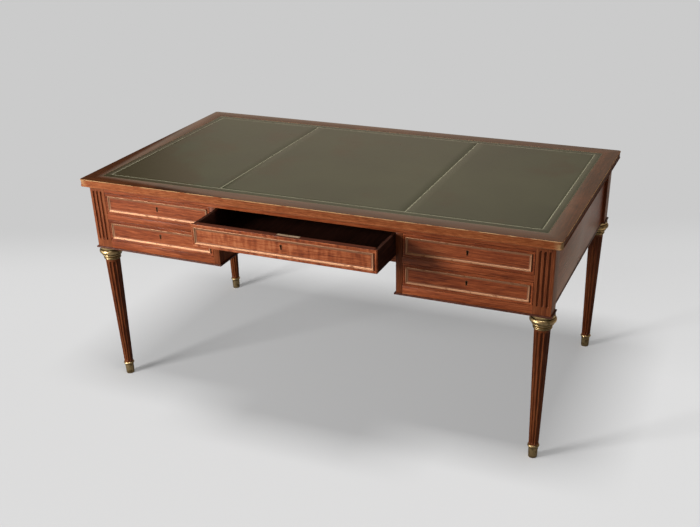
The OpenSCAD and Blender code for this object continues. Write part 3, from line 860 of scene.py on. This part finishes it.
def border_profile():
    """Section of the border as inset from the outer edge and height: bead, sunk band, bead."""
    lower, upper, band = 3.0, 2.5, 1.8
    thick = (top_high.z - top_low.z) / MM
    low_turn = math.degrees(math.acos(1 - band / lower))
    high_turn = math.degrees(math.acos(1 - band / upper))
    beads = arc_points(-lower, lower, lower, -90, low_turn, 14)
    beads += arc_points(-upper, thick - upper, upper, -high_turn, 90, 14)
    section = [(border_width / MM - 0.05, 0.0)]
    section += [(-x, z) for x, z in beads]
    section += [(border_width / MM - 0.7, thick), (border_width / MM - 0.05, thick - 0.5)]
    return section + section[:1]


def make_border():
    """One moulded ring, its long sides and short sides in wood of their own grain."""
    section = border_profile()
    mesh = grown(
        moulding,
        [(inset * MM, 0, top_low.z + z * MM) for inset, z in section],
        {
            "Width": top_width,
            "Depth": top_depth,
            "Corner Radius": 10 * MM,
            "Corner Steps": 8,
            "Place": (0.0, desk_y, 0.0),
            "Finish": top_wood_x,
        },
    )
    for face in mesh.polygons:
        middle = face.center
        from_side = top_width / 2 - abs(middle.x)
        from_front = top_depth / 2 - abs(middle.y - desk_y)
        moulded = 2 if middle.z < top_z - 0.1 * MM else 0
        face.material_index = moulded + (1 if from_side < from_front else 0)
    finishes = [top_wood_x, top_wood_y, edge_wood_x, edge_wood_y]
    place_piece("moulded_border", mesh, finishes, ["top_border"], "desk", 50)


def make_leather():
    """The leather field, turned down at its edges, with gold lines pressed into it."""
    half_x, half_y = leather_half_x, leather_half_y
    line = 1.6 * MM  # half the width of a tooled line
    pressed_in, turned_down, rounded_edge = 0.22 * MM, 0.45 * MM, 2 * MM
    outer_x, outer_y, cross_x = 742 * MM, 376 * MM, 320 * MM

    def stops(half, lines):
        insets = (0, 0.5 * MM, rounded_edge)
        marks = {side * (half - inset) for side in (-1, 1) for inset in insets}
        for middle in lines:
            marks |= {middle + s * (line + d) for s in (-1, 1) for d in (0, 0.5 * MM)}
        steps = 48
        marks |= {round(-half + 2 * half * i / steps, 5) for i in range(1, steps)}
        ordered = sorted(marks)
        kept = [ordered[0]]
        for mark in ordered[1:]:
            if mark - kept[-1] > 0.3 * MM:
                kept.append(mark)
        kept[-1] = half
        return kept

    xs = stops(half_x, [-outer_x, -cross_x, cross_x, outer_x])
    ys = stops(half_y, [-outer_y, outer_y])

    def on_line(x, y, slack):
        near = line + slack
        ring = max(abs(x) - outer_x, abs(y) - outer_y)
        cross = abs(abs(x) - cross_x) < near and abs(y) < outer_y
        return abs(ring) < near or cross

    def height(x, y):
        from_edge = min(half_x - abs(x), half_y - abs(y))
        drop = turned_down * max(0.0, 1 - from_edge / rounded_edge) ** 2
        if on_line(x, y, 0.1 * MM):
            drop += pressed_in
        return top_z - drop

    points = [(x, y + desk_y, height(x, y)) for x in xs for y in ys]
    across = len(ys)
    faces, tooled = [], []
    for i in range(len(xs) - 1):
        for j in range(across - 1):
            a = i * across + j
            faces.append((a, a + across, a + across + 1, a + 1))
            middle_x, middle_y = (xs[i] + xs[i + 1]) / 2, (ys[j] + ys[j + 1]) / 2
            tooled.append(1 if on_line(middle_x, middle_y, -0.1 * MM) else 0)
    rim = [i * across for i in range(len(xs))]
    rim += [(len(xs) - 1) * across + j for j in range(1, across)]
    rim += [i * across + across - 1 for i in range(len(xs) - 2, -1, -1)]
    rim += [j for j in range(across - 2, 0, -1)]
    below = len(points)
    points += [(points[k][0], points[k][1], leather_low.z) for k in rim]
    for n, k in enumerate(rim):
        following = (n + 1) % len(rim)
        faces.append((k, below + n, below + following, rim[following]))
    faces.append(tuple(below + n for n in range(len(rim))))
    mesh = mesh_from(points, faces)
    for number, face in enumerate(mesh.polygons):
        face.material_index = tooled[number] if number < len(tooled) else 0
    settled(mesh)
    place_piece(
        "tooled_leather", mesh, [olive_leather, gold_tooling], ["leather"], "desk", 60
    )


# Posts, legs and their brass


def make_post(corner):
    """A square post, its outer face cut with three round-ended flutes."""
    low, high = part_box("post_" + corner)
    flute, pitch = post_flute, post_flute_pitch
    flute_low = low.z + post_plain_low + flute
    flute_high = high.z - post_plain_high - flute
    half = post_width / 2
    ease = 0.7 * MM
    middle = Vector(((low.x + high.x) / 2, (low.y + high.y) / 2, 0))

    def section(z):
        past_end = max(flute_low - z, z - flute_high, 0.0)
        reach = flute**2 - past_end**2
        outline = [(-half + ease, -half)]
        for i in (-1, 0, 1):
            for step in range(13):
                sideways = flute * math.sin(math.radians(-90 + 15 * step))
                depth = math.sqrt(max(reach - sideways**2, 0.0))
                outline.append((i * pitch + sideways, -half + depth))
        outline.append((half - ease, -half))
        for turn, (sign_x, sign_y) in enumerate([(1, -1), (1, 1), (-1, 1), (-1, -1)]):
            for step in (1, 2, 3):
                tilt = math.radians(-90 + 90 * turn + 30 * step)
                x = sign_x * (half - ease) + ease * math.cos(tilt)
                outline.append((x, sign_y * (half - ease) + ease * math.sin(tilt)))
        return outline[:-1]

    heights = [low.z, low.z + 12 * MM]
    heights += [flute_low + flute * math.sin(math.radians(-90 + 15 * s)) for s in range(7)]
    heights += [flute_low + (flute_high - flute_low) * s / 8 for s in range(1, 8)]
    heights += [flute_high + flute * math.sin(math.radians(15 * s)) for s in range(7)]
    heights += [high.z - 6 * MM, high.z]
    facing = Matrix.Rotation(0 if corner.startswith("front") else math.pi, 4, "Z")
    points = []
    for z in heights:
        for x, y in section(z):
            turned_point = facing @ Vector((x, y, 0))
            points.append((middle.x + turned_point.x, middle.y + turned_point.y, z))
    around = len(section(low.z))
    faces = []
    for level in range(len(heights) - 1):
        for n in range(around):
            a, b = level * around + n, level * around + (n + 1) % around
            faces.append((a, b, b + around, a + around))
    faces.append(tuple(range(around)))
    faces.append(tuple((len(heights) - 1) * around + n for n in range(around)))
    mesh = settled(mesh_from(points, faces))
    place_piece(
        "fluted_post_" + corner, mesh, [post_wood], ["post_" + corner], "desk", 32
    )


def four_corners(sizes):
    """The sizes that put a turned piece at the desk's four corners."""
    spread = {"Spread X": 2 * post_x, "Spread Y": 2 * post_spread_y, "Middle Y": desk_y}
    return {**spread, **sizes}


def make_legs():
    """Tapering legs with twelve flutes, and their necks inside the collars."""
    taper = (shaft_radius_top - shaft_radius_foot) / (shaft_top - foot_height)

    def radius(z):
        return shaft_radius_foot + taper * (z - foot_height)

    flute_low = foot_height + 5 * MM + leg_flute_low
    flute_high = shaft_top - 8 * MM - leg_flute_high
    heights = [foot_height, foot_height + 2 * MM]
    heights += [flute_low - leg_flute_low * math.cos(math.radians(15 * s)) for s in range(7)]
    heights += [flute_low + (flute_high - flute_low) * s / 16 for s in range(1, 16)]
    heights += [flute_high + leg_flute_high * math.sin(math.radians(15 * s)) for s in range(7)]
    heights += [shaft_top - 0.5 * MM]
    spigot_end, neck_end = foot_height - spigot_length, leg_top - 0.5 * MM
    profile = [(0, 0, spigot_end), (spigot_radius, 0, spigot_end)]
    profile += [(spigot_radius, 0, foot_height)]
    profile += [(radius(z), 0, z) for z in heights]
    profile += [(radius(shaft_top), 0, shaft_top), (neck_radius, 0, shaft_top)]
    profile += [(neck_radius, 0, neck_end), (0, 0, neck_end)]
    mesh = grown(
        turned,
        profile,
        four_corners(
            {
                "Columns": 192,
                "Flutes": 12,
                "Flute Low": flute_low,
                "Flute High": flute_high,
                "Flute Radius Low": leg_flute_low,
                "Flute Radius High": leg_flute_high,
                "Finish": leg_wood,
            }
        ),
    )
    legs = ["leg_" + corner for corner in CORNERS]
    place_piece("fluted_legs", mesh, [leg_wood], legs, "desk", 32)


def turned_brass(name, node, outer, base, columns):
    """Turned brass at the four corners, from a profile in millimetres above a height."""
    mesh = grown(
        turned,
        [(r * MM, 0, base + z * MM) for r, z in outer],
        four_corners({"Columns": columns, "Flutes": 1, "Finish": mount_brass}),
    )
    place_piece(name, mesh, [mount_brass], [node], "desk", 40)


def make_collars():
    """Brass collars: plate, large round moulding, stepped ring and two beads."""
    outer = [(19.1, -0.0), (35.4, 0.0), (36.0, -0.6), (36.0, -6.2), (35.2, -7.4), (33.4, -8.0)]
    outer += [(33.0, -8.6)]
    outer += arc_points(32.0, -17.0, 9.0, 78, -78, 22)
    outer += [(33.0, -26.2), (33.0, -27.4)]
    outer += arc_points(31.2, -30.2, 2.6, 70, -60, 8)
    outer += [(31.0, -33.6), (29.4, -35.0), (28.0, -36.8), (27.5, -38.0)]
    outer += arc_points(27.5, -40.0, 2.0, 80, -80, 8)
    outer += arc_points(27.5, -44.0, 2.0, 80, -90, 8)
    outer += [(25.7, -46.0), (19.1, -46.0), (19.1, 0.0)]
    turned_brass("turned_collars", "leg_collars", outer, leg_top, 96)


def make_feet():
    """Brass feet: a slim cup with a thin bright lip and a round ring above it."""
    outer = [(0.0, 5.9), (11.1, 5.9), (11.1, 48.4), (15.0, 48.4)]
    outer += arc_points(14.0, 43.5, 5.0, 62, -62, 12)
    outer += [(16.1, 38.6), (16.3, 37.9), (15.9, 37.2), (15.4, 36.9), (15.3, 30.0), (14.8, 16.0)]
    outer += [(14.3, 1.2), (13.9, 0.4), (13.0, 0.0), (0.0, 0.0)]
    turned_brass("turned_feet", "leg_feet", outer, 0.0, 72)


# Carcase


def make_carcase():
    """Panels, rails and boards with eased edges."""
    boards = (
        (side_wood, "mahogany", ("side_panel_left", "side_panel_right")),
        (stile_wood, "mahogany", ("partition_left", "partition_right")),
        (back_wood, "mahogany", ("back_panel_left", "back_panel_right", "back_panel_centre")),
        (board_wood, "dark_wood", ("base_boards",)),
        (rail_wood, "mahogany", ("middle_rails", "bottom_rails", "top_rails")),
    )
    for finish, slot, nodes in boards:
        for node in nodes:
            place_piece(node + "_eased", eased(node), [finish], [node], "desk", 25)
    for node in ("top_core", "runners", "guides", "kickers", "drawer_stops"):
        dress(node, oak_wood)


def make_top_screws():
    """The slotted screws that hold the top, seen from below in the rails."""
    low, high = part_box("top_screws")
    head, head_height = 4.4 * MM, 3 * MM
    rows = (low.y + head, high.y - head)
    mesh = grown(
        screws,
        [(x * MM, y, low.z) for x in (-600, -200, 200, 600) for y in rows],
        {
            "Head Radius": head,
            "Head Height": head_height,
            "Slot Width": 1.1 * MM,
            "Shank Radius": 2.2 * MM,
            "Shank Length": high.z - low.z - head_height,
            "Facing": (math.pi, 0.0, 0.0),
            "Finish": bright_steel,
        },
    )
    place_piece("slotted_top_screws", mesh, [bright_steel], ["top_screws"], "desk", 35)


# Drawers


def bar_profile():
    """Section of a brass bar, inset and height: a bead outside, a steep slope, a thin lip."""
    section = [(0.0, 0.0), (0.0, 1.6), (0.0, 2.8)]
    section += arc_points(1.0, 2.8, 1.0, 180, 40, 6)[1:]
    section += [(2.3, 2.95), (3.1, 2.3), (4.0, 1.55), (4.9, 1.0)]
    section += [(5.2, 0.85), (7.0, 0.8), (8.1, 0.8), (8.5, 0.5), (8.5, 0.0), (0.0, 0.0)]
    return section


def make_drawer(name):
    """Front, box, brass frame, keyhole lining, lock and bolt of one drawer."""
    body = name + "_drawer"
    front = name + "_front"
    mesh = eased(front, 0.4 * MM, 20 * MM)
    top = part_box(front)[1].z
    for face in mesh.polygons:
        if face.normal.z > 0.9 and face.center.z > top - 0.5 * MM:
            face.material_index = 1
    place_piece(
        front + "_veneered", mesh, [front_woods[name], bare_wood], [front], body, 25
    )
    box = name + "_box"
    place_piece(box + "_eased", eased(box), [inner_wood], [box], body, 25)

    low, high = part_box(name + "_brass_frame")
    mesh = grown(
        moulding,
        [(inset * MM, 0, height * MM) for inset, height in bar_profile()],
        {
            "Width": high.x - low.x,
            "Depth": high.z - low.z,
            "Corner Radius": 0.0,
            "Corner Steps": 1,
            "Turn": (math.pi / 2, 0.0, 0.0),
            "Place": ((low.x + high.x) / 2, high.y, (low.z + high.z) / 2),
            "Finish": bar_brass,
        },
    )
    place_piece(
        name + "_mitred_bars", mesh, [bar_brass], [name + "_brass_frame"], body, 40
    )
    dress(name + "_keyhole_lining", keyhole_shade_brass)
    dress(name + "_lock", lock_finish(name))
    dress(name + "_bolt", bolt_brass)


make_border()
make_leather()
for corner in CORNERS:
    make_post(corner)
make_legs()
make_collars()
make_feet()
make_carcase()
make_top_screws()
for drawer in DRAWERS:
    make_drawer(drawer)


# Studio: floor, background, lamps and camera

VIEW_AZIMUTH = math.radians(23.41)
VIEW_ELEVATION = math.radians(29.27)
VIEW_ROLL = math.radians(-1.28)
LENS, LENS_SHIFT = 50.406, (-0.02067, 0.1456)
CAMERA = (1.3133, -3.0031 + desk_y, 1.8043)
BACKGROUND = 0.597
FLOOR_SEEN = 0.75
FLOOR_PAINT = 0.95  # the palest that the floor itself may be
FLOOR_GLOW = (0.74, 0.74, 0.74)
FLOOR_GLOW_SHARE = 0.28

# Lamps as place, point aimed at and power, and the even light of the room
KEY = ((-2.55, -3.15 + desk_y, 1.6), (-2.1, -0.3 + desk_y, 0.8), 222)
OVERHEAD = ((0.1, -0.5 + desk_y, 6.5), (0.1, -0.5 + desk_y, 0.0), 312)
FILL = 0.32
FILL_ON_FLOOR = 0.40


def make_camera():
    """The camera at the photograph's angle, with its picture shifted as the photograph's is."""
    back = Vector(
        (
            math.sin(VIEW_AZIMUTH) * math.cos(VIEW_ELEVATION),
            -math.cos(VIEW_AZIMUTH) * math.cos(VIEW_ELEVATION),
            math.sin(VIEW_ELEVATION),
        )
    )
    level = (-back).cross(Vector((0, 0, 1))).normalized()
    upright = level.cross(-back)
    right = level * math.cos(VIEW_ROLL) + upright * math.sin(VIEW_ROLL)
    up = upright * math.cos(VIEW_ROLL) - level * math.sin(VIEW_ROLL)
    lens = bpy.data.cameras.new("photograph")
    lens.sensor_fit = "HORIZONTAL"
    lens.sensor_width = 36
    lens.lens = LENS
    lens.shift_x, lens.shift_y = LENS_SHIFT
    lens.clip_end = 100
    camera = add_object("photograph", lens)
    turn = Matrix((right, up, back)).transposed().to_4x4()
    camera.matrix_world = Matrix.Translation(CAMERA) @ turn
    bpy.context.scene.camera = camera


def softbox(name, place, aim, power, size):
    lamp = bpy.data.lights.new(name, "AREA")
    lamp.shape = "RECTANGLE"
    lamp.size, lamp.size_y = size
    lamp.energy = power
    holder = add_object(name, lamp)
    holder.location = place
    holder.rotation_euler = (Vector(aim) - Vector(place)).to_track_quat("-Z", "Y").to_euler()


def lamp_on_floor(finish, place, aim, power):
    """How strongly a lamp lights each point of the floor, as a field."""
    facing = (Vector(place) - Vector(aim)).normalized()
    ray = finish.vector_math("SUBTRACT", tuple(place), finish.place)
    squared = finish.vector_math("DOT_PRODUCT", ray, ray, output="Value")
    ahead = finish.vector_math("DOT_PRODUCT", ray, tuple(facing), output="Value")
    return ahead / (squared * squared) * (place[2] * power / math.pi**2)


def make_floor():
    """A pale floor, evenly lit to the eye, that goes over into the background behind the desk."""
    finish = Finish("studio_floor")
    x, y, z = finish.split(finish.place)
    depth = y * math.cos(VIEW_AZIMUTH) - x * math.sin(VIEW_AZIMUTH)
    reach = (x * x + y * y) ** 0.5
    far = finish.between(depth, 0.5, 1.55).most(finish.between(reach, 2.2, 4.0))
    eye, through, mirror = finish.rays("Camera", "Transmission", "Glossy")
    eye = eye.most(through)
    lit = FILL * FILL_ON_FLOOR + lamp_on_floor(finish, *KEY) + lamp_on_floor(finish, *OVERHEAD)
    pale = (FLOOR_SEEN / lit).least(FLOOR_PAINT)
    # Mirror rays see the floor darker than the eye does, and paler in a patch beside the right
    # side: painted reflections, the patch giving the side panel its sheen.
    sheen_patch = finish.between(x, 0.83, 0.93) * finish.between(y, -0.2, 0.3)
    mirrored = finish.mix(sheen_patch, (0.22, 0.21, 0.20), (0.60, 0.52, 0.42))
    color = finish.mix(mirror, (0.20, 0.20, 0.20), mirrored)
    color = finish.mix(eye, color, finish.vector(pale, pale, pale))
    matte = finish.node("ShaderNodeBsdfDiffuse", {}, {"Color": color})
    glow = finish.mix(far, FLOOR_GLOW, (BACKGROUND,) * 3)
    wall = finish.node("ShaderNodeEmission", {}, {"Color": glow, "Strength": 1.0})
    unlit = 1 - lit * (FLOOR_PAINT / FLOOR_SEEN)
    share = (far.most(unlit).most(FLOOR_GLOW_SHARE) * eye).most(far * mirror * 0.35)
    surface = finish.node("ShaderNodeMixShader", {}, {0: share, 1: matte, 2: wall})
    finish.end("ShaderNodeOutputMaterial", "Surface", surface)
    half = 14.0  # far enough out that its edge is never seen
    sides = ((-half, -half), (half, -half), (half, half), (-half, half))
    mesh = mesh_from([(x, y, 0) for x, y in sides], [(0, 1, 2, 3)])
    mesh.materials.append(finish.material)
    add_object("studio_floor", mesh)


def make_lamps():
    """A key lamp at the left, turned away so that it fades to the right, and one overhead."""
    softbox("key", *KEY, size=(1.2, 1.6))
    softbox("overhead", *OVERHEAD, size=(2.6, 2.0))


def make_world():
    """Even fill light. The lens and polished surfaces see a pale wall behind the desk."""
    world = bpy.data.worlds.new("studio")
    world.use_nodes = True
    nodes = Nodes(world.node_tree)
    camera_ray, glossy_ray, through = nodes.rays("Camera", "Glossy", "Transmission")
    mirror_ray = glossy_ray.most(through)
    x, y, z = nodes.split(nodes.node("ShaderNodeTexCoord", output="Generated"))
    azimuth = nodes.node("ShaderNodeMath", {"operation": "ARCTAN2"}, {0: x * -1.0, 1: y})
    wall = nodes.between(azimuth, math.radians(36.0), math.radians(33.5))
    wall = wall * nodes.between(azimuth, math.radians(4), math.radians(20), 0.55, 1.0)
    wall = wall * nodes.between(azimuth, math.radians(-60), math.radians(-15), 0.35, 1.0)
    window = nodes.between(azimuth, math.radians(85), math.radians(110))
    window = window * nodes.between(z, 0.05, 0.25) * nodes.between(z, 0.85, 0.65)
    dim_room = 0.04
    seen_in_polish = wall * 0.50 + window * 0.55 + dim_room
    fill = (x * 0.20 + FILL) * nodes.between(z, 0.80, 0.45)
    strength = camera_ray * BACKGROUND + (1 - camera_ray) * (
        mirror_ray * seen_in_polish + (1 - mirror_ray) * fill
    )
    color = nodes.node(
        "ShaderNodeMix",
        {"data_type": "RGBA"},
        {0: mirror_ray, 6: (1, 1, 1, 1), 7: (1.0, 0.82, 0.64, 1)},
        output=2,
    )
    sky = nodes.node("ShaderNodeBackground", {}, {"Color": color, "Strength": strength})
    nodes.end("ShaderNodeOutputWorld", "Surface", sky)
    bpy.context.scene.world = world


make_camera()
make_lamps()
make_floor()
make_world()
bpy.context.scene.view_settings.view_transform = "Standard"
